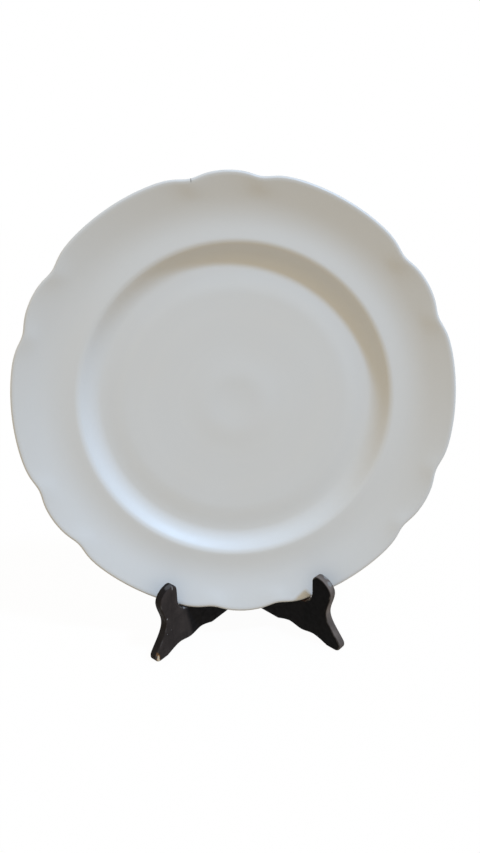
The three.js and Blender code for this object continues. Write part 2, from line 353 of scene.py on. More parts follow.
@dataclass(frozen=True)
class EdgeWear:
    """How one finish wears along the edges that a mesh attribute marks."""

    attribute: str
    scale: float
    amount: float

    def mask(self, sketch: Sketch, effects: Effects, own: Socket) -> Socket:
        """1 on the worn edge, 0 away from it.

        Args:
            sketch: The sketch of the material.
            effects: The shared effects.
            own: Coordinates in the piece's own frame.

        Returns:
            The mask.
        """
        edge = sketch.attribute(self.attribute)
        inputs = {"Edge": edge, "Vector": own, "Scale": self.scale, "Amount": self.amount}
        return sketch.use(effects.edge_wear, inputs)


def new_material(name: str) -> tuple[bpy.types.Material, Sketch, bpy.types.Node]:
    """Starts a material on a Principled shader.

    Args:
        name: The material's name.

    Returns:
        The material, the sketch of its nodes, and the shader.
    """
    material = bpy.data.materials.new(name)
    material.use_nodes = True
    sketch = Sketch(material.node_tree)
    shader = sketch.add("ShaderNodeBsdfPrincipled")
    sketch.add("ShaderNodeOutputMaterial", {"Surface": shader.outputs["BSDF"]})
    return material, sketch, shader


@dataclass(frozen=True)
class Porcelain:
    """White porcelain under a clear glaze, with the bare clay of the foot ring."""

    white: Colour = (0.69, 0.692, 0.68)
    warm: Colour = (0.685, 0.67, 0.635)
    thin_glaze: Colour = (0.5, 0.485, 0.46)
    bare_clay: Colour = (0.56, 0.51, 0.44)
    iron: Colour = (0.07, 0.06, 0.055)
    ring_shade: Colour = (0.66, 0.662, 0.652)
    rim_tone: Colour = (0.64, 0.638, 0.622)
    glaze_roughness: Pair = (0.44, 0.5)
    clay_roughness: float = 0.85
    ring_pitch: float = 0.012
    ring_drift: float = 12.0
    ring_share: float = 0.8
    cloud_scale: float = 14.0
    cloud_share: float = 0.5
    rim_wear: EdgeWear = EdgeWear("rim", 160.0, 0.2)
    rim_share: float = 0.45
    iron_specks: Specks = Specks(60.0, 0.035, 0.06)
    gloss_scale: float = 220.0
    grit_scale: float = 2600.0
    ripple_scale: float = 45.0
    bump_height: float = 0.00001
    hairline: Triple = (-0.0221, 0.1445, 0.0195)
    hairline_size: Triple = (0.0004, 0.0021, 0.004)
    hairline_share: float = 0.6

    def material(self, effects: Effects, place: Matrix) -> bpy.types.Material:
        """Builds the glaze on the plate's own frame.

        Args:
            effects: The shared effects.
            place: Where the plate lies.

        Returns:
            The material.
        """
        material, sketch, shader = new_material("porcelain")
        own = sketch.place(place)
        cloud = sketch.use(effects.cloud, {"Vector": own, "Scale": self.cloud_scale})
        rings = self._rings(sketch, own)
        colour = sketch.mix(sketch.math("MULTIPLY", cloud, self.cloud_share), self.white, self.warm)
        colour = sketch.mix(sketch.math("MULTIPLY", rings, self.ring_share), colour, self.ring_shade)
        colour = sketch.mix(sketch.attribute("brim"), colour, self.rim_tone)
        rim = sketch.math("MULTIPLY", self.rim_wear.mask(sketch, effects, own), self.rim_share)
        colour = sketch.mix(rim, colour, self.thin_glaze)
        colour = sketch.mix(self.iron_specks.mask(sketch, effects, own), colour, self.iron)
        crack_inputs = {"Vector": own, "Centre": self.hairline, "Reach": self.hairline_size}
        crack = sketch.math("MULTIPLY", sketch.use(effects.spot, crack_inputs), self.hairline_share)
        colour = sketch.mix(crack, colour, self.iron)
        bare = sketch.attribute("foot")
        colour = sketch.mix(bare, colour, self.bare_clay)
        sketch.feed(shader.inputs["Base Color"], colour)
        gloss = sketch.remap(sketch.noise(own, self.gloss_scale), NOISE_SPAN, self.glaze_roughness)
        rough = sketch.math("MAXIMUM", gloss, sketch.math("MULTIPLY", bare, self.clay_roughness))
        sketch.feed(shader.inputs["Roughness"], rough)
        grit = sketch.math("MULTIPLY", sketch.noise(own, self.grit_scale), bare)
        ripple = sketch.noise(own, self.ripple_scale, detail=2.0)
        height = sketch.math("ADD", sketch.math("ADD", rings, grit), ripple)
        sketch.feed(shader.inputs["Normal"], sketch.bump(height, self.bump_height))
        return material

    def _rings(self, sketch: Sketch, own: Socket) -> Socket:
        """Faint uneven rings that the turning of the plate left round its axis.

        Args:
            sketch: The sketch of the material.
            own: Coordinates in the piece's own frame.

        Returns:
            Their height, about 0.5 in the mean.
        """
        flat = sketch.vector("MULTIPLY", own, (1.0, 1.0, 0.0)).outputs["Vector"]
        radius = sketch.vector("LENGTH", flat).outputs["Value"]
        wander = sketch.noise(own, self.ring_drift, detail=1.0)
        drift = sketch.math("MULTIPLY", wander, self.ring_pitch)
        inputs = {"W": sketch.math("ADD", radius, drift), "Scale": 1.0 / self.ring_pitch, "Detail": 2.0}
        return sketch.add("ShaderNodeTexNoise", inputs, noise_dimensions="1D").outputs["Fac"]


@dataclass(frozen=True)
class Spot:
    """A worn spot of a board, in the board's own frame.

    Attributes:
        wear: What shows there.
        centre: Its middle: reach, depth from the inner face, and height.
        size: Its half-width along each of these.
    """

    wear: Wear
    centre: Triple
    size: Triple


@dataclass(frozen=True)
class Lacquer:
    """Black lacquer on wood with a painted shadow line of the plate on its broad faces, rubbed at the edges
    and worn in spots.

    Attributes:
        haze: Colour of the broad faces before the painted shadow line: dust on the left board, painted
            shade darker than the lacquer on the right.
        wall: Colour of the narrow sides: dark lacquer on the left board, a painted sheen on the right.
        spots: The worn spots.
        shelter: Reach of the line behind which the broad faces keep the black lacquer as the plate's
            painted shadow, at the table and per rise.
    """

    # Dust on the left board; painted shade, darker than the lacquer, on the right board.
    haze: Colour
    # Dark lacquer on the left board; a painted sheen on the right board.
    wall: Colour
    spots: tuple[Spot, ...]
    # Painted shadow of the plate: behind this line the broad faces stay black.
    shelter: Pair = (0.0565, 0.18)
    shelter_blur: float = 0.002
    black: Colour = (0.0062, 0.0055, 0.0058)
    rubbed: Colour = (0.085, 0.078, 0.075)
    bare_wood: Colour = (0.66, 0.57, 0.42)
    stain: Colour = (0.3, 0.13, 0.03)
    brown: Colour = (0.045, 0.017, 0.012)
    dust: Colour = (0.26, 0.25, 0.24)
    satin: Pair = (0.42, 0.6)
    satin_scale: float = 260.0
    grain_scale: Triple = (900.0, 900.0, 55.0)
    grain_share: float = 0.35
    cloud_scale: float = 70.0
    uneven: Pair = (0.45, 1.0)
    uneven_span: Pair = (0.1, 1.9)
    edge_wear: EdgeWear = EdgeWear("edge", 130.0, 0.17)
    edge_roughening: float = 0.4
    dust_specks: Specks = Specks(260.0, 0.11, 0.06)
    lump_scale: float = 420.0
    grain_lift: float = 0.6
    worn_fall: float = 1.5
    bare_roughness: float = 0.8
    specular: float = 0.035
    bump_height: float = 0.00006

    def material(self, effects: Effects, name: str, place: Matrix) -> bpy.types.Material:
        """Builds the lacquer on one board's own frame.

        Args:
            effects: The shared effects.
            name: The material's name.
            place: Where the board stands.

        Returns:
            The material.
        """
        material, sketch, shader = new_material(name)
        own = sketch.place(place)
        grain_vector = sketch.vector("MULTIPLY", own, self.grain_scale).outputs["Vector"]
        grain = sketch.noise(grain_vector, 1.0, detail=4.0)
        cloud = sketch.use(effects.cloud, {"Vector": own, "Scale": self.cloud_scale})
        uneven = sketch.remap(sketch.math("ADD", cloud, grain), self.uneven_span, self.uneven)
        # The dusty colour shows only in front of the plate's painted shadow line; behind it the black
        # lacquer stands in for the shadow.
        film_before_painted_shadow = sketch.math("MULTIPLY", uneven, self._exposed(sketch, own))
        colour = sketch.mix(film_before_painted_shadow, self.black, self.haze)
        # The narrow sides take the wall colour, which on the right board is a painted sheen.
        side = sketch.math("MULTIPLY", sketch.attribute("wall"), uneven)
        colour = sketch.mix(side, colour, self.wall)
        edge = self.edge_wear.mask(sketch, effects, own)
        colour = sketch.mix(edge, colour, self.rubbed)
        colour = sketch.mix(self.dust_specks.mask(sketch, effects, own), colour, self.dust)
        shown = {Wear.BARE: self.bare_wood, Wear.STAINED: self.stain}
        shown |= {Wear.BROWN: self.brown, Wear.RUBBED: self.rubbed, Wear.DUSTY: self.dust}
        worn = sketch.math("MULTIPLY", edge, self.edge_roughening)
        streaks = sketch.math("MULTIPLY", grain, self.grain_share)
        for spot in self.spots:
            mask = sketch.use(effects.spot, {"Vector": own, "Centre": spot.centre, "Reach": spot.size})
            under = self.stain if spot.wear is Wear.BARE else self.black
            streaked = sketch.mix(streaks, shown[spot.wear], under)
            colour = sketch.mix(mask, colour, streaked)
            worn = sketch.math("MAXIMUM", worn, mask)
        sketch.feed(shader.inputs["Base Color"], colour)
        satin = sketch.remap(sketch.noise(own, self.satin_scale), NOISE_SPAN, self.satin)
        rough = sketch.math("MAXIMUM", satin, sketch.math("MULTIPLY", worn, self.bare_roughness))
        sketch.feed(shader.inputs["Roughness"], rough)
        sketch.feed(shader.inputs["Specular IOR Level"], self.specular)
        raised = sketch.math("MULTIPLY", grain, self.grain_lift)
        lumps = sketch.math("ADD", sketch.noise(own, self.lump_scale, detail=2.0), raised)
        height = sketch.math("SUBTRACT", lumps, sketch.math("MULTIPLY", worn, self.worn_fall))
        sketch.feed(shader.inputs["Normal"], sketch.bump(height, self.bump_height))
        return material

    def _exposed(self, sketch: Sketch, own: Socket) -> Socket:
        """1 in front of the plate's painted shadow line, 0 behind it, where the black lacquer stands in for
        the shadow.

        Args:
            sketch: The sketch of the material.
            own: Coordinates in the piece's own frame.

        Returns:
            The mask.
        """
        parts = sketch.add("ShaderNodeSeparateXYZ", {"Vector": own})
        line = sketch.math("MULTIPLY", parts.outputs["Z"], self.shelter[1])
        ahead = sketch.math("SUBTRACT", parts.outputs["X"], line)
        span = (self.shelter[0] - self.shelter_blur, self.shelter[0] + self.shelter_blur)
        return sketch.remap(ahead, span)


@dataclass(frozen=True)
class Brass:
    """Aged satin brass with tarnish in soft patches."""

    bright: Colour = (0.62, 0.45, 0.18)
    tarnish: Colour = (0.2, 0.125, 0.05)
    pit: Colour = (0.06, 0.045, 0.025)
    satin: Pair = (0.26, 0.5)
    satin_span: Pair = (0.4, 1.4)
    cloud_scale: float = 160.0
    cloud_share: float = 0.75
    pits: Specks = Specks(900.0, 0.25, 0.12)
    brushing: Triple = (1.0, 1.0, 0.06)
    brush_scale: float = 2500.0
    bump_height: float = 0.00002

    def material(self, effects: Effects) -> bpy.types.Material:
        """Builds the metal.

        Args:
            effects: The shared effects.

        Returns:
            The material.
        """
        material, sketch, shader = new_material("brass")
        own = sketch.add("ShaderNodeTexCoord").outputs["Object"]
        cloud = sketch.use(effects.cloud, {"Vector": own, "Scale": self.cloud_scale})
        colour = sketch.mix(sketch.math("MULTIPLY", cloud, self.cloud_share), self.bright, self.tarnish)
        pits = self.pits.mask(sketch, effects, own)
        sketch.feed(shader.inputs["Base Color"], sketch.mix(pits, colour, self.pit))
        sketch.feed(shader.inputs["Metallic"], 1.0)
        along = sketch.vector("MULTIPLY", own, self.brushing).outputs["Vector"]
        rubbed = sketch.noise(along, self.brush_scale)
        rough = sketch.remap(sketch.math("ADD", rubbed, cloud), self.satin_span, self.satin)
        sketch.feed(shader.inputs["Roughness"], rough)
        height = sketch.math("SUBTRACT", rubbed, pits)
        sketch.feed(shader.inputs["Normal"], sketch.bump(height, self.bump_height))
        return material


def to_object(shape: Shape, name: str) -> Piece:
    """Makes a smooth-shaded object at the origin from a shape, and frees the shape.

    Args:
        shape: The finished shape, in the model's frame.
        name: The object's name.

    Returns:
        The linked object.
    """
    mesh = bpy.data.meshes.new(name)
    shape.to_mesh(mesh)
    shape.free()
    mesh.shade_smooth()
    made = bpy.data.objects.new(name, mesh)
    bpy.context.scene.collection.objects.link(made)
    return made


def install(piece: Piece, node: str, body: str, finish: bpy.types.Material) -> None:
    """Dresses a piece and lets it stand for its node on a body.

    Args:
        piece: The piece, in its place.
        node: The node that it stands for.
        body: The body that it rides on.
        finish: Its material.
    """
    piece.data.materials.clear()
    piece.data.materials.append(finish)
    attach(piece, body)
    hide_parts(node)
    log.info("%s on %s: %d faces", piece.name, body, len(piece.data.polygons))


def crisp(piece: Piece, angle: float) -> None:
    """Keeps flat faces flat: sharp edges past an angle, and normals led by the large faces.

    Args:
        piece: The piece.
        angle: The angle past which an edge is sharp.
    """
    piece.data.set_sharp_from_angle(angle=angle)
    modifier = piece.modifiers.new("flat_faces", "WEIGHTED_NORMAL")
    modifier.keep_sharp = True


def soften(shape: Shape, edges: list[bmesh.types.BMEdge], amount: float, segments: int) -> None:
    """Rounds edges of a shape.

    Args:
        shape: The shape.
        edges: Its edges to round.
        amount: How far the round reaches from each edge.
        segments: Steps across the round.
    """
    how = {"affect": "EDGES", "segments": segments, "profile": 0.5, "material": -1}
    bmesh.ops.bevel(shape, geom=edges, offset=amount, offset_type="OFFSET", **how)


def carve(piece: Piece, cutter: Piece) -> None:
    """Cuts one closed shape out of another, removes the cutter and welds the cut's slivers.

    Args:
        piece: The piece to cut.
        cutter: The shape to take away.
    """
    cut = piece.modifiers.new("cut", "BOOLEAN")
    cut.object = cutter
    cut.solver = "EXACT"
    graph = bpy.context.evaluated_depsgraph_get()
    carved = bpy.data.meshes.new_from_object(piece.evaluated_get(graph))
    piece.modifiers.remove(cut)
    piece.data = carved
    bpy.data.objects.remove(cutter)
    shape = bmesh.new()
    shape.from_mesh(carved)
    bmesh.ops.dissolve_degenerate(shape, edges=shape.edges, dist=MERGE_DISTANCE)
    bmesh.ops.remove_doubles(shape, verts=shape.verts, dist=MERGE_DISTANCE)
    shape.to_mesh(carved)
    shape.free()


def turned(section: list[Pair], steps: int, axis: Vector) -> Shape:
    """Turns an open section about an axis through the origin.

    Args:
        section: Points of the section: radius and place along the axis, both ends on the axis.
        steps: Steps of the full turn.
        axis: The axis, along Z or X.

    Returns:
        The closed shape.
    """
    shape = bmesh.new()
    out = Vector((1, 0, 0)) if axis.z else Vector((0, 0, 1))
    corners = [shape.verts.new(out * radius + axis * along) for radius, along in section]
    edges = [shape.edges.new(pair) for pair in zip(corners, corners[1:])]
    spin = {"cent": (0, 0, 0), "axis": axis, "angle": FULL_TURN, "steps": steps, "use_merge": True}
    bmesh.ops.spin(shape, geom=corners + edges, **spin)
    bmesh.ops.remove_doubles(shape, verts=shape.verts, dist=MERGE_DISTANCE)
    bmesh.ops.recalc_face_normals(shape, faces=shape.faces)
    return shape


def spaced(start: float, end: float, count: int) -> list[float]:
    """Evenly spaced values after the start, up to and with the end."""
    return [start + (end - start) * (i + 1) / count for i in range(count)]


def share_of(value: float, start: float, end: float) -> float:
    """How far a value is on the way from a start to an end, held between 0 and 1."""
    return min(max((value - start) / (end - start), 0.0), 1.0)


def eased(value: float, start: float, end: float) -> float:
    """A share that runs smoothly from 0 at a start to 1 at an end."""
    share = share_of(value, start, end)
    return share * share * (3 - 2 * share)


@dataclass
class Plate:
    """The porcelain plate: a turned section whose edge is drawn in at pairs of soft notches."""

    radius: float = 0.150
    height: float = 0.0205
    well_radius: float = 0.091
    well_floor: float = 0.005
    verge_width: float = 0.0156
    verge_delay: float = 0.0015
    verge_bend: float = 0.0095
    verge_rise: float = 0.0067
    rim_wall: float = 0.0042
    rim_fall: float = 0.06
    rim_turn: Pair = (0.1, 0.75)
    edge_round: float = 0.002
    foot_height: float = 0.003
    foot_width: float = 0.005
    foot_outset: float = 0.001
    foot_draft: float = 0.001
    well_lift: float = 0.0003
    well_fall: float = 0.0012
    fall_span: Pair = (0.074, 0.093)
    swell_rise: float = 0.0004
    swell_radius: float = 0.019
    swell_width: float = 0.010
    crease_round: float = 0.0022
    foot_round: float = 0.0006
    hollow_round: float = 0.005
    narrow_lobes: int = 6
    notch_angle: float = math.radians(9)
    notch_softness: float = math.radians(3.8)
    notch_depth: float = 0.0029
    notch_band: float = 0.018
    rim_line: float = 0.0016
    well_rings: int = 46
    verge_rings: int = 17
    rim_rings: int = 24
    edge_rings: int = 12
    back_rings: int = 18
    hollow_rings: int = 5
    round_room: float = 1.1
    round_segments: int = 6
    turn_steps: int = 600
    node: str = "plate"

    @property
    def well_top(self) -> float:
        """Height of the well's floor."""
        return self.foot_height + self.well_floor

    @property
    def rim_start(self) -> float:
        """Radius of the crease between the verge and the rim."""
        return self.well_radius + self.verge_width

    @property
    def rim_end(self) -> float:
        """Radius of the middle of the round edge."""
        return self.radius - self.edge_round

    @property
    def rim_low(self) -> float:
        """Height of the rim at the crease."""
        return self.well_top + self.verge_rise

    @property
    def foot_radius(self) -> float:
        """Outer radius of the foot ring's bottom."""
        return self.well_radius + self.foot_outset

    def place(self) -> Matrix:
        """Where the plate leans: from the record's mount on the well's floor.

        Returns:
            The place of the plate's own frame.
        """
        mount = next(m for m in frame["record"]["mounts"] if m["name"] == "well_floor")
        facing = Vector(mount["axis"]).normalized()
        right = Vector((1, 0, 0))
        foot = Vector(mount["pos_m"]) - facing * self.well_top
        turn = Matrix((right, facing.cross(right), facing)).transposed()
        return Matrix.Translation(foot) @ turn.to_4x4()

    def face_height(self, radius: float) -> float:
        """Height of the plate's face at a radius.

        Args:
            radius: Distance from the plate's axis.

        Returns:
            Height over the bottom of the foot ring.
        """
        if radius <= self.rim_start:
            start = self.well_radius + self.verge_delay
            rise = self._even_turn(max(radius - start, 0.0)) / self._even_turn(self.rim_start - start)
            return self.well_top + self.verge_rise * rise + self._relief(radius) * (1 - rise)
        width, along = self.rim_end - self.rim_start, radius - self.rim_start
        climb = (self.height - self.rim_low + self.rim_fall * width) / self._soft_turn(width)
        return self.rim_low + climb * self._soft_turn(along) - self.rim_fall * along

    def _relief(self, radius: float) -> float:
        """Height of the well's floor over a flat one: a low swell in the middle, a fall at the edge."""
        swell = math.exp(-(((radius - self.swell_radius) / self.swell_width) ** 2))
        return self.well_lift + self.swell_rise * swell - self.well_fall * eased(radius, *self.fall_span)

    def _even_turn(self, along: float) -> float:
        """Rise of a face that turns evenly from level to a slope of 1 over the verge's bend."""
        turned = min(along, self.verge_bend)
        return turned**2 / (2 * self.verge_bend) + along - turned

    def _soft_turn(self, along: float) -> float:
        """Rise of a face that turns softly from level to a slope of 1 between two shares of the rim.

        Args:
            along: Distance from the crease.

        Returns:
            The rise.
        """
        start, end = (share * (self.rim_end - self.rim_start) for share in self.rim_turn)
        share = share_of(along, start, end)
        return (end - start) * (share**3 - share**4 / 2) + max(along - end, 0.0)

    def section(self) -> list[Pair]:
        """The plate's section, from the middle of the well round the edge to the middle of the back.

        Returns:
            Radius and height of each point.
        """
        points = [(0.0, self.face_height(0.0))]
        radii = spaced(0.0, self.well_radius, self.well_rings)
        radii += spaced(self.well_radius, self.rim_start, self.verge_rings)
        radii += spaced(self.rim_start, self.rim_end, self.rim_rings)
        from_crease = [abs(radius - self.rim_start) for radius in radii]
        room = self.crease_round * self.round_room
        clear = [away < MERGE_DISTANCE or away > room for away in from_crease]
        points += [(radius, self.face_height(radius)) for radius, kept in zip(radii, clear) if kept]
        middle = self.height - self.edge_round
        for angle in spaced(QUARTER, -QUARTER, self.edge_rings):
            across = self.rim_end + self.edge_round * math.cos(angle)
            points.append((across, middle + self.edge_round * math.sin(angle)))
        back = self.rim_start + self.foot_draft
        hollow = back + self.hollow_round * self.round_room
        under = [radius for radius in spaced(self.rim_end, back, self.back_rings) if radius > hollow]
        points += [(radius, self.face_height(radius) - self.rim_wall) for radius in under]
        points.append((back, self.rim_low - self.rim_wall))
        inner = self.foot_radius - self.foot_width
        points += [(self.foot_radius + self.foot_draft, self.foot_height), (self.foot_radius, 0.0)]
        points += [(inner, 0.0), (inner - self.foot_draft, self.foot_height)]
        inside = spaced(inner - self.foot_draft, 0.0, self.hollow_rings)
        return points + [(radius, self.foot_height) for radius in inside]

    def notch_dip(self, angle: float) -> float:
        """How far the edge is drawn in at an angle from a narrow lobe's middle.

        Args:
            angle: Angle round the plate from its top.

        Returns:
            The distance towards the axis.
        """
        period = FULL_TURN / self.narrow_lobes
        from_lobe = abs(angle - period * round(angle / period))
        return self.notch_depth / math.cosh((from_lobe - self.notch_angle) / self.notch_softness) ** 2

    def soften_rings(self, shape: Shape) -> None:
        """Rounds the crease, the foot ring's edges and the hollow behind the rim.

        Args:
            shape: The turned plate.
        """
        inner = self.foot_radius - self.foot_width
        rings = [
            (self.rim_start, self.rim_low, self.crease_round),
            (self.foot_radius, 0.0, self.foot_round),
            (inner, 0.0, self.foot_round),
            (self.foot_radius + self.foot_draft, self.foot_height, self.foot_round),
            (inner - self.foot_draft, self.foot_height, self.foot_round),
            (self.rim_start + self.foot_draft, self.rim_low - self.rim_wall, self.hollow_round),
        ]
        for radius, height, amount in rings:
            edges = [edge for edge in shape.edges if self._on_ring(edge, radius, height)]
            soften(shape, edges, amount, self.round_segments)

    @staticmethod
    def _on_ring(edge: bmesh.types.BMEdge, radius: float, height: float) -> bool:
        """Whether both ends of an edge lie at a radius and height."""
        places = ((vert.co.xy.length - radius, vert.co.z - height) for vert in edge.verts)
        return all(abs(out) < RING_TOLERANCE and abs(up) < RING_TOLERANCE for out, up in places)

    def scallop(self, shape: Shape) -> None:
        """Draws the edge in at the notches, and marks the rim's line and the bare foot.

        Args:
            shape: The turned plate.
        """
        rim = shape.verts.layers.float.new("rim")
        foot = shape.verts.layers.float.new("foot")
        brim = shape.verts.layers.float.new("brim")
        for vert in shape.verts:
            radius = vert.co.xy.length
            vert[rim] = share_of(radius, self.rim_end, self.rim_end + self.rim_line)
            vert[foot] = 1.0 if vert.co.z < self.foot_round / 4 else 0.0
            vert[brim] = share_of(radius, self.rim_start, self.rim_end)
            share = eased(radius, self.radius - self.notch_band, self.rim_end)
            drawn = share * self.notch_dip(math.atan2(vert.co.x, vert.co.y))
            if drawn:
                vert.co.xy *= 1 - drawn / radius

    def build(self) -> Piece:
        """Builds the plate in its place.

        Returns:
            The plate's object.
        """
        shape = turned(self.section(), self.turn_steps, Vector((0, 0, 1)))
        self.soften_rings(shape)
        self.scallop(shape)
        bmesh.ops.transform(shape, matrix=self.place(), verts=shape.verts)
        return to_object(shape, "porcelain_plate")

    def dress(self, piece: Piece, effects: Effects) -> None:
        """Glazes the plate and puts it on its body."""
        install(piece, self.node, "plate", Porcelain().material(effects, self.place()))


class Pen:
    """Draws a flat outline of lines, arcs and smooth curves."""

    def __init__(self, start: Vector, fineness: int) -> None:
        """Starts the outline.

        Args:
            start: Its first point.
            fineness: Points on each arc and curve.
        """
        self.points = [start]
        self.fineness = fineness

    @property
    def at(self) -> Vector:
        """The last point drawn."""
        return self.points[-1]

    def line(self, end: Vector) -> None:
        """Draws a straight line."""
        self.points.append(end)

    def arc(self, centre: Vector, radius: float, start: float, end: float) -> None:
        """Draws an arc round a centre between two angles."""
        for angle in [start, *spaced(start, end, self.fineness)]:
            point = centre + radius * Vector((math.cos(angle), math.sin(angle)))
            if (point - self.at).length > MERGE_DISTANCE:
                self.points.append(point)

    def curve(self, leave: Vector, arrive: Vector, end: Vector) -> None:
        """Draws a cubic curve with two handles.

        Args:
            leave: Handle of the last point.
            arrive: Handle of the end.
            end: The end.
        """
        knots = [point.to_3d() for point in (self.at, leave, arrive, end)]
        drawn = interpolate_bezier(*knots, self.fineness + 1)
        self.points += [point.to_2d() for point in drawn[1:]]

    def bend(self, handle: Vector, end: Vector) -> None:
        """Draws a curve with one handle."""
        self.curve(self.at.lerp(handle, 2 / 3), end.lerp(handle, 2 / 3), end)

    def through(self, stops: list[Vector]) -> None:
        """Draws a smooth curve through points."""
        chain = [self.at, self.at, *stops, stops[-1]]
        for before, first, second, after in zip(chain, chain[1:], chain[2:], chain[3:]):
            self.curve(first + (second - before) / 6, second - (after - first) / 6, second)


@dataclass
class Board:
    """One board of the stand: an upright behind the plate, a notch under it, a lip and a foot in front."""

    side: Side
    finish: Lacquer
    spread: float = math.radians(43)
    thickness: float = 0.006
    softness: float = 0.0008
    fold_gap: float = 0.0004
    rear: float = 0.0024
    seat_gap: float = 0.0004
    seat_reach: float = 0.058025
    seat_height: float = 0.0272
    floor_slope: float = 0.398905
    upright_height: float = 0.110
    shoulder: float = 0.007
    support_height: float = 0.0720125
    scoop_start: float = 0.001
    scoop_floor_pull: float = 0.005
    scoop_back_pull: float = 0.030
    lip_reach: float = 0.0685666
    lip_rise: float = 0.0257
    crown_reach: float = 0.0042
    crown_round: float = 0.005
    belly: Pair = (0.0159, 0.0158)
    waist: Pair = (0.0124, -0.0007)
    notch_fillet: float = 0.0105
    toe_reach: float = 0.0247
    toe_round: float = 0.0045
    toe_turn: float = math.radians(35)
    front_pad: float = 0.0135
    bump: Pair = (-0.010, 0.0018)
    rear_pad: float = -0.0325
    arch_rise: float = 0.0034
    sweep_pull: float = 1 / 3
    crown_pull: float = 1 / 2
    border: float = 0.0012
    fineness: int = 20
    round_segments: int = 4
    crisp_angle: float = math.radians(50)
    broad_normal: float = 0.9
    flat_normal: float = 0.999
    edge_reach: Pair = (0.9, 1.5)
    edge_shade: float = 0.6

    @property
    def node(self) -> str:
        """The node that the board stands for."""
        return f"{self.side.word}_leg"

    def place(self) -> Matrix:
        """Where the board's own frame stands: on the hinge axis, turned out by the spread.

        Returns:
            The place.
        """
        joint = next(j for j in frame["joints"] if j["name"] == "stand_fold")
        axis = Vector((joint["pos_m"][0], joint["pos_m"][1], 0.0))
        return Matrix.Translation(axis) @ Matrix.Rotation(self.side.value * self.spread - QUARTER, 4, "Z")

    def upright_reach(self, plate: Plate, height: float) -> float:
        """Reach of the upright's front edge, a seat gap behind the plane of the plate's foot ring.

        Args:
            plate: The plate that leans on it.
            height: Height over the table.

        Returns:
            The reach from the hinge axis.
        """
        lying = plate.place()
        facing = lying.to_3x3().col[2]
        axis = self.place().translation
        plane = facing.dot(lying.translation - axis) - self.seat_gap
        forward = (plane - height * facing.z) / -facing.y
        return (forward + self.fold_gap * math.sin(self.spread)) / math.cos(self.spread)

    def outline(self, plate: Plate) -> list[Vector]:
        """The board's outline: underside, foot, lip, notch, scoop and upright.

        Args:
            plate: The plate that leans on it.

        Returns:
            Points by reach and height.
        """
        pen = Pen(Vector((self.rear, 0.0)), self.fineness)
        self._draw_underside(pen)
        self._draw_front(pen)
        self._draw_back(pen, plate)
        return pen.points

    def _draw_underside(self, pen: Pen) -> None:
        """Draws the rear pad, two shallow arches with a bump between them, and the front pad.

        Args:
            pen: The pen that draws the outline.
        """
        lip = self.lip_reach
        stops = ((self.rear_pad, 0.0), self.bump, (self.front_pad, 0.0))
        rear, bump, front = (Vector((lip + reach, rise)) for reach, rise in stops)
        rear_arch = Vector(((rear.x + bump.x) / 2, self.arch_rise))
        front_arch = Vector(((bump.x + front.x) / 2, self.arch_rise))
        pen.line(rear)
        pen.through([rear_arch, bump, front_arch, front])

    def _draw_front(self, pen: Pen) -> None:
        """Draws the toe, the waist, the belly and the crown of the lip.

        Args:
            pen: The pen that draws the outline.
        """
        seat = Vector((self.lip_reach, self.seat_height))
        waist = seat + Vector(self.waist)
        belly = seat + Vector(self.belly)
        crown = seat + Vector((self.crown_reach, self.lip_rise))
        toe = Vector((self.lip_reach + self.toe_reach - self.toe_round, self.toe_round))
        pen.arc(toe, self.toe_round, -QUARTER, self.toe_turn)
        sweep = (waist.y - self.toe_round) * self.sweep_pull
        leave = pen.at + sweep * Vector((-math.sin(self.toe_turn), math.cos(self.toe_turn)))
        pen.curve(leave, waist - Vector((0, sweep)), waist)
        swell = Vector((0, (belly.y - waist.y) * self.sweep_pull))
        pen.curve(waist + swell, belly - swell, belly)
        brow = Vector((0, (crown.y - belly.y) * self.crown_pull))
        over = Vector(((belly.x - crown.x) * self.crown_pull, 0))
        pen.curve(belly + brow, crown + over, crown)
        corner = Vector((self.lip_reach, crown.y - self.crown_round))
        back = Vector((self.crown_reach * self.crown_pull, 0))
        pen.curve(crown - back, corner + Vector((0, self.crown_round * self.crown_pull)), corner)

    def _draw_back(self, pen: Pen, plate: Plate) -> None:
        """Draws the notch, the scoop and the upright.

        Args:
            pen: The pen that draws the outline.
            plate: The plate that leans on the board.
        """
        turn = self.floor_slope - QUARTER
        tangent = self.lip_reach - self.notch_fillet + self.notch_fillet * math.cos(turn)
        rise = (tangent - self.seat_reach) * math.tan(self.floor_slope) - self.notch_fillet * math.sin(turn)
        fillet = Vector((self.lip_reach - self.notch_fillet, self.seat_height + rise))
        pen.arc(fillet, self.notch_fillet, 0.0, turn)
        pull = self.scoop_start + self.scoop_floor_pull
        start, handle = (
            Vector((self.seat_reach - behind, self.seat_height - behind * math.tan(self.floor_slope)))
            for behind in (self.scoop_start, pull)
        )
        pen.line(start)
        low = self.support_height - self.scoop_back_pull
        arrive = Vector((self.upright_reach(plate, low), low))
        support = Vector((self.upright_reach(plate, self.support_height), self.support_height))
        pen.curve(handle, arrive, support)
        shoulder = self.upright_height - self.shoulder
        front = self.upright_reach(plate, shoulder)
        top = Vector(((front + self.rear) / 2, self.upright_height))
        pen.line(Vector((front, shoulder)))
        pen.bend(Vector((self.upright_reach(plate, self.upright_height), self.upright_height)), top)
        pen.bend(Vector((self.rear, self.upright_height)), Vector((self.rear, shoulder)))

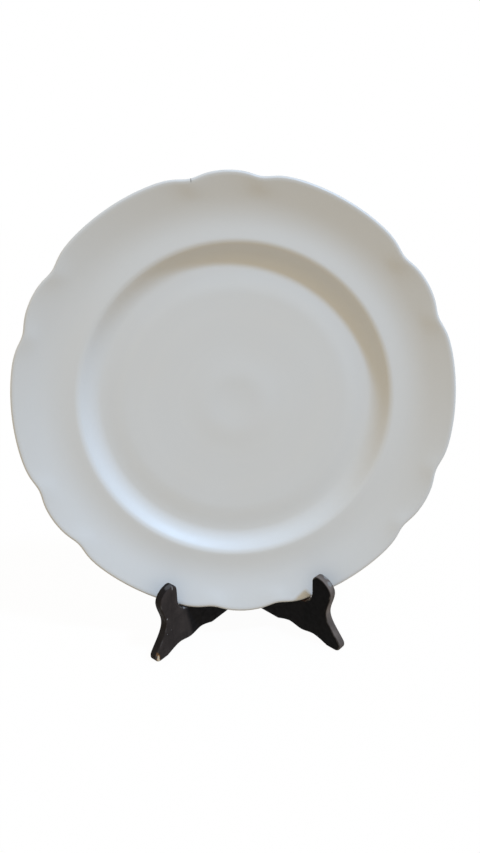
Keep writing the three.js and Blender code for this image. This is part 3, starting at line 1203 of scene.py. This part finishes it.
    def build(self, plate: Plate) -> Piece:
        """Builds the board in its place, with softened edges that are marked for wear.

        Args:
            plate: The plate that leans on it.

        Returns:
            The board's object.
        """
        shape = bmesh.new()
        inner = self.side.value * self.fold_gap
        across = Vector((0, self.side.value * self.thickness, 0))
        face = shape.faces.new([shape.verts.new((p.x, inner, p.y)) for p in self.outline(plate)])
        pulled = bmesh.ops.extrude_face_region(shape, geom=[face], use_keep_orig=True)["geom"]
        moved = [part for part in pulled if isinstance(part, bmesh.types.BMVert)]
        bmesh.ops.translate(shape, vec=across, verts=moved)
        bmesh.ops.recalc_face_normals(shape, faces=shape.faces)
        widths = [(edge, abs(edge.verts[0].co.y - edge.verts[1].co.y)) for edge in shape.edges]
        walls = [edge for edge, width in widths if width > self.softness]
        bmesh.ops.subdivide_edges(shape, edges=walls, cuts=1)
        self._finish_edges(shape)
        bmesh.ops.transform(shape, matrix=self.place(), verts=shape.verts)
        piece = to_object(shape, f"{self.side.word}_board")
        crisp(piece, self.crisp_angle)
        return piece

    def _finish_edges(self, shape: Shape) -> None:
        """Rounds the long edges, lays a border inside the faces and marks how exposed each point is.

        Args:
            shape: The board in its own frame.
        """
        faces = [face for face in shape.faces if abs(face.normal.y) > self.broad_normal]
        edges = list({edge for face in faces for edge in face.edges})
        soften(shape, edges, self.softness, self.round_segments)
        shape.faces.ensure_lookup_table()
        broad = sorted(shape.faces, key=lambda face: face.calc_area())[-2:]
        bmesh.ops.inset_individual(shape, faces=broad, thickness=self.border, use_even_offset=True)
        edge = shape.verts.layers.float.new("edge")
        wall = shape.verts.layers.float.new("wall")
        limits = sorted(abs(vert.co.y) for vert in shape.verts)
        for vert in shape.verts:
            depth = min(abs(vert.co.y) - limits[0], limits[-1] - abs(vert.co.y))
            flat = all(abs(face.normal.y) > self.flat_normal for face in vert.link_faces)
            vert[wall] = min(depth / self.softness, 1.0)
            if flat or depth > self.softness * self.edge_reach[1]:
                vert[edge] = 0.0
            else:
                vert[edge] = 1.0 if depth < self.softness * self.edge_reach[0] else self.edge_shade

    def dress(self, piece: Piece, effects: Effects) -> None:
        """Lacquers the board and puts it on its half of the stand."""
        lacquer = self.finish.material(effects, f"{self.side.word}_lacquer", self.place())
        install(piece, self.node, self.side.body, lacquer)


@dataclass
class Hinge:
    """A small butt hinge on the boards' rear edges: two rolled leaves, a pin and countersunk screws."""

    level: Level
    boards: dict[Side, Board]
    leaf_height: float = 0.022
    leaf_thick: float = 0.0009
    leaf_inset: float = 0.0004
    knuckle_radius: float = 0.002
    knuckle_count: int = 3
    knuckle_gap: float = 0.0003
    roll: float = math.radians(288)
    roll_steps: int = 28
    edge_round: float = 0.00012
    pin_radius: float = 0.0009
    pin_round: float = 0.0002
    screw_pitch: float = 0.013
    screw_length: float = 0.009
    screw_radius: float = 0.00065
    screw_tip: float = 0.002
    head_radius: float = 0.0013
    head_depth: float = 0.0008
    slot_width: float = 0.0004
    slot_depth: float = 0.00035
    screw_gap: float = 0.00008
    margin: float = 0.001
    round_steps: int = 32
    leaf_segments: int = 2
    pin_segments: int = 3
    corner_angle: float = math.radians(60)
    leaf_crisp: float = math.radians(40)
    pin_crisp: float = math.radians(50)
    screw_crisp: float = math.radians(30)

    @property
    def leaf_rear(self) -> float:
        """Reach of the leaves' rear face, which the screw heads lie flush with."""
        return self.knuckle_radius - self.leaf_thick

    def leaf_span(self, side: Side) -> Pair:
        """Distances of a leaf's near and far edge from the hinge axis."""
        board = self.boards[side]
        return self.knuckle_radius + self.knuckle_gap, board.fold_gap + board.thickness - self.leaf_inset

    def knuckle_spans(self, side: Side) -> list[Pair]:
        """Heights of the knuckles of one leaf: the left has the first, third and so on.

        Args:
            side: The leaf's half of the stand.

        Returns:
            Lowest and highest point of each knuckle.
        """
        pitch = self.leaf_height / self.knuckle_count
        low = self.level.value - self.leaf_height / 2
        first = 0 if side is Side.LEFT else 1
        starts = [low + i * pitch for i in range(first, self.knuckle_count, 2)]
        return [(start + self.knuckle_gap / 2, start + pitch - self.knuckle_gap / 2) for start in starts]

    def screw_places(self, side: Side) -> list[Vector]:
        """Middles of the screw heads in the board's own frame, along the middle of the leaf.

        Args:
            side: The leaf's half of the stand.

        Returns:
            One place for each screw, from the bottom.
        """
        across = side.value * sum(self.leaf_span(side)) / 2
        heights = (self.level.value - self.screw_pitch / 2, self.level.value + self.screw_pitch / 2)
        return [Vector((self.leaf_rear, across, height)) for height in heights]

    def screw_section(self, grow: float, above: float) -> list[Pair]:
        """Section of a screw grown by a clearance, from its tip to the middle of its head.

        Args:
            grow: The clearance.
            above: How far it is carried on past the head.

        Returns:
            Radius and place along the screw; the head's face is at 0 and the tip at positive places.
        """
        shank = self.screw_radius + grow
        head = self.head_radius + grow
        points = [(0.0, self.screw_length + grow), (shank, self.screw_length - self.screw_tip + grow)]
        points += [(shank, self.head_depth), (head, 0.0)]
        if above:
            points.append((head, -above))
        return [*points, (0.0, -above)]

    def build_leaf(self, side: Side) -> Piece:
        """Builds a leaf: a strip whose knuckles are rolled round the pin, with countersunk holes.

        Args:
            side: The leaf's half of the stand.

        Returns:
            The leaf's object.
        """
        board = self.boards[side]
        near, far = self.leaf_span(side)
        shape = bmesh.new()
        bmesh.ops.create_cube(shape, size=1.0)
        bmesh.ops.scale(shape, vec=(self.leaf_thick, far - near, self.leaf_height), verts=shape.verts)
        middle = (self.leaf_rear + self.leaf_thick / 2, side.value * (near + far) / 2, self.level.value)
        bmesh.ops.translate(shape, vec=middle, verts=shape.verts)
        for span in self.knuckle_spans(side):
            self._roll_knuckle(shape, side, near, span)
        sharp = [edge for edge in shape.edges if edge.calc_face_angle(0.0) > self.corner_angle]
        soften(shape, sharp, self.edge_round, self.leaf_segments)
        bmesh.ops.recalc_face_normals(shape, faces=shape.faces)
        bmesh.ops.transform(shape, matrix=board.place(), verts=shape.verts)
        leaf = to_object(shape, f"{self.level.word}_{side.word}_hinge_leaf")
        section = self.screw_section(self.screw_gap, self.margin)
        for spot in self.screw_places(side):
            hole = turned(section, self.round_steps, Vector((1, 0, 0)))
            bmesh.ops.transform(hole, matrix=board.place() @ Matrix.Translation(spot), verts=hole.verts)
            carve(leaf, to_object(hole, "screw_hole"))
        crisp(leaf, self.leaf_crisp)
        return leaf

    def _roll_knuckle(self, shape: Shape, side: Side, near: float, span: Pair) -> None:
        """Carries the strip on to the hinge axis over a span of heights, and rolls it round the pin.

        Args:
            shape: The strip in the board's own frame.
            side: The leaf's half of the stand.
            near: Distance of the strip from the hinge axis.
            span: Lowest and highest point of the knuckle.
        """
        for height in span:
            parts = [*shape.verts, *shape.edges, *shape.faces]
            bmesh.ops.bisect_plane(shape, geom=parts, plane_co=(0, 0, height), plane_no=(0, 0, 1))
        middle = sum(span) / 2
        end = min(shape.faces, key=lambda face: self._offset(face, side.value * near, middle))
        pulled = bmesh.ops.extrude_face_region(shape, geom=[end])["geom"]
        corners = [part for part in pulled if isinstance(part, bmesh.types.BMVert)]
        bmesh.ops.translate(shape, vec=(0, -side.value * near, 0), verts=corners)
        tip = [part for part in pulled if isinstance(part, bmesh.types.BMFace)]
        spin = {"cent": (0, 0, 0), "axis": (0, 0, 1), "angle": -side.value * self.roll}
        bmesh.ops.spin(shape, geom=tip, steps=self.roll_steps, **spin)
        inside = [face for face in shape.faces if all(len(edge.link_faces) > 2 for edge in face.edges)]
        bmesh.ops.delete(shape, geom=inside, context="FACES_ONLY")

    @staticmethod
    def _offset(face: bmesh.types.BMFace, across: float, height: float) -> float:
        """How far a face's middle lies from a line along X."""
        middle = face.calc_center_median()
        return math.hypot(middle.y - across, middle.z - height)

    def build_pin(self) -> Piece:
        """Builds the pin with rounded ends.

        Returns:
            The pin's object.
        """
        shape = bmesh.new()
        round_bar = {"radius1": self.pin_radius, "radius2": self.pin_radius, "depth": self.leaf_height}
        bmesh.ops.create_cone(shape, cap_ends=True, segments=self.round_steps, **round_bar)
        rises = [(edge, abs(edge.verts[0].co.z - edge.verts[1].co.z)) for edge in shape.edges]
        ends = [edge for edge, rise in rises if rise < MERGE_DISTANCE]
        soften(shape, ends, self.pin_round, self.pin_segments)
        axis = self.boards[Side.LEFT].place().translation
        bmesh.ops.translate(shape, vec=axis + Vector((0, 0, self.level.value)), verts=shape.verts)
        pin = to_object(shape, f"{self.level.word}_pin")
        crisp(pin, self.pin_crisp)
        return pin

    def build_screw(self, side: Side, number: int) -> Piece:
        """Builds a countersunk screw with a slot.

        Args:
            side: The leaf's half of the stand.
            number: Which screw of the leaf, from 0 at the bottom.

        Returns:
            The screw's object.
        """
        place = self.boards[side].place() @ Matrix.Translation(self.screw_places(side)[number])
        shape = turned(self.screw_section(0.0, 0.0), self.round_steps, Vector((1, 0, 0)))
        bmesh.ops.transform(shape, matrix=place, verts=shape.verts)
        screw = to_object(shape, f"{self.level.word}_{side.word}_screw_{number + 1}")
        slot = bmesh.new()
        bmesh.ops.create_cube(slot, size=1.0)
        size = (2 * self.slot_depth, self.slot_width, 2 * (self.head_radius + self.margin))
        bmesh.ops.scale(slot, vec=size, verts=slot.verts)
        bmesh.ops.transform(slot, matrix=place, verts=slot.verts)
        carve(screw, to_object(slot, "screw_slot"))
        crisp(screw, self.screw_crisp)
        return screw

    def build_and_dress(self, finish: bpy.types.Material) -> None:
        """Builds the hinge's pieces and puts each on its half of the stand; the pin stays with the left.

        Args:
            finish: The brass.
        """
        stem = f"{self.level.word}_hinge"
        install(self.build_pin(), f"{stem}_pin", Side.LEFT.body, finish)
        for side in Side:
            install(self.build_leaf(side), f"{stem}_{side.word}_leaf", side.body, finish)
            for number in range(len(self.screw_places(side))):
                node = f"{stem}_{side.word}_screw_{number + 1}"
                install(self.build_screw(side, number), node, side.body, finish)


@dataclass
class Studio:
    """The pale floor, the soft light and the camera."""

    floor_half: float = 6.0
    floor_white: Colour = (0.97, 0.88, 0.79)
    floor_bounce: Colour = (0.44, 0.37, 0.29)
    floor_glow: float = 0.97
    surround: Colour = (0.733, 0.635, 0.47)
    key_from: Triple = (0.472, -0.265, 0.841)
    key_colour: Colour = (0.385, 0.625, 0.986)
    key_strength: float = 2.85
    key_angle: float = math.radians(7)
    lens: float = 26.589
    sensor: float = 36.0
    camera_from: Triple = (-0.01148, -0.402, 0.13854)
    nearest: float = 0.01
    heading: float = math.radians(1.926)
    pitch: float = math.radians(-21.0)
    roll: float = math.radians(-2.2)

    def seen_directly(self, sketch: Sketch) -> Socket:
        """1 for what the camera sees directly, in a reflection or through glass, else 0.

        Args:
            sketch: The sketch of the material or world.

        Returns:
            The value.
        """
        path = sketch.add("ShaderNodeLightPath")
        seen = sketch.math("MAXIMUM", path.outputs["Is Camera Ray"], path.outputs["Is Glossy Ray"])
        return sketch.math("MAXIMUM", seen, path.outputs["Is Transmission Ray"])

    def build_floor(self) -> None:
        """Lays a floor that looks white, keeps a soft shadow and throws back warm light."""
        shape = bmesh.new()
        bmesh.ops.create_grid(shape, x_segments=1, y_segments=1, size=self.floor_half)
        floor = to_object(shape, "floor")
        material = bpy.data.materials.new("pale_floor")
        material.use_nodes = True
        sketch = Sketch(material.node_tree)
        bounce = sketch.add("ShaderNodeBsdfDiffuse", {"Color": opaque(self.floor_bounce)})
        white = sketch.add("ShaderNodeBsdfDiffuse", {"Color": opaque(self.floor_white)})
        glow = sketch.add("ShaderNodeEmission", {"Color": opaque(WHITE), "Strength": 1.0})
        pale = {0: self.floor_glow, 1: white.outputs[0], 2: glow.outputs[0]}
        shown = sketch.add("ShaderNodeMixShader", pale)
        both = {0: self.seen_directly(sketch), 1: bounce.outputs[0], 2: shown.outputs[0]}
        mixed = sketch.add("ShaderNodeMixShader", both)
        sketch.add("ShaderNodeOutputMaterial", {"Surface": mixed.outputs[0]})
        floor.data.materials.append(material)

    def build_world(self) -> None:
        """Surrounds the scene with soft warm grey light behind a white background."""
        world = bpy.data.worlds.new("surround")
        bpy.context.scene.world = world
        world.use_nodes = True
        sketch = Sketch(world.node_tree)
        colour = sketch.mix(self.seen_directly(sketch), self.surround, WHITE)
        ground = sketch.add("ShaderNodeBackground", {"Color": colour, "Strength": 1.0})
        sketch.add("ShaderNodeOutputWorld", {"Surface": ground.outputs[0]})

    def build_light(self, name: str, origin: Triple, colour: Colour, strength: float, angle: float) -> None:
        """Adds a distant soft light.

        Args:
            name: The light's name.
            origin: The direction that it comes from.
            colour: Its colour.
            strength: Its strength.
            angle: The angle that it fills, which softens its shadows.
        """
        light = bpy.data.lights.new(name, "SUN")
        light.color = colour
        light.energy = strength
        light.angle = angle
        lamp = bpy.data.objects.new(name, light)
        lamp.rotation_euler = Vector(origin).to_track_quat("Z", "Y").to_euler()
        bpy.context.scene.collection.objects.link(lamp)

    def build_camera(self, plate: Plate) -> None:
        """Sets the camera before the plate, at the photograph's viewing angle.

        Args:
            plate: The plate that it looks at.
        """
        lying = plate.place()
        target = lying @ Vector((0, 0, plate.height - plate.edge_round))
        turn = Matrix.Rotation(-self.heading, 4, "Z") @ Matrix.Rotation(QUARTER + self.pitch, 4, "X")
        data = bpy.data.cameras.new("camera")
        data.sensor_width = self.sensor
        data.lens = self.lens
        data.clip_start = self.nearest
        camera = bpy.data.objects.new("camera", data)
        stand = Matrix.Translation(target + Vector(self.camera_from))
        camera.matrix_world = stand @ turn @ Matrix.Rotation(self.roll, 4, "Z")
        bpy.context.scene.collection.objects.link(camera)
        bpy.context.scene.camera = camera

    def build(self, plate: Plate) -> None:
        """Builds the whole studio round the plate.

        Args:
            plate: The plate that the camera looks at.
        """
        bpy.context.scene.view_settings.view_transform = "Standard"
        self.build_floor()
        self.build_world()
        self.build_light("key", self.key_from, self.key_colour, self.key_strength, self.key_angle)
        self.build_camera(plate)


FINISHES = {
    Side.LEFT: Lacquer(
        haze=(0.049, 0.039, 0.035),
        wall=(0.0125, 0.0103, 0.0094),
        spots=(
            Spot(Wear.STAINED, (0.0910, -0.0012, 0.0030), (0.0018, 0.0016, 0.0052)),
            Spot(Wear.BARE, (0.0910, -0.0006, 0.0022), (0.0011, 0.0012, 0.0040)),
            Spot(Wear.DUSTY, (0.0729, -0.0008, 0.0512), (0.0005, 0.0012, 0.0018)),
            Spot(Wear.DUSTY, (0.063, -0.0008, 0.0293), (0.0015, 0.0014, 0.0006)),
            Spot(Wear.DUSTY, (0.0797, -0.0004, 0.0295), (0.0006, 0.0006, 0.0007)),
            Spot(Wear.BROWN, (0.0605, -0.004, 0.0284), (0.004, 0.0028, 0.0014)),
            Spot(Wear.RUBBED, (0.0752, -0.0024, 0.0527), (0.0052, 0.0018, 0.0012)),
        ),
    ),
    Side.RIGHT: Lacquer(
        # Painted shade: darker than the black lacquer, for the right inner face that is turned from the
        # light.
        haze=(0.0035, 0.0034, 0.0036),
        # Painted sheen: light grey on the narrow sides for the light that they reflect.
        wall=(0.17, 0.14, 0.122),
        spots=(
            Spot(Wear.BROWN, (0.0605, 0.003, 0.0284), (0.006, 0.003, 0.0016)),
            Spot(Wear.DUSTY, (0.0758, 0.0055, 0.0517), (0.0026, 0.0014, 0.0014)),
            Spot(Wear.DUSTY, (0.0806, 0.0042, 0.0492), (0.0024, 0.0016, 0.0020)),
        ),
    ),
}


def main() -> None:
    """Builds the studio and each piece in order."""
    logging.basicConfig(level=logging.INFO, format="%(message)s")
    effects = Effects.build()
    plate = Plate()
    Studio().build(plate)
    plate.dress(plate.build(), effects)
    boards = {side: Board(side, FINISHES[side]) for side in Side}
    for board in boards.values():
        board.dress(board.build(plate), effects)
    brass = Brass().material(effects)
    for level in Level:
        Hinge(level, boards).build_and_dress(brass)


if __name__ == "__main__":
    main()
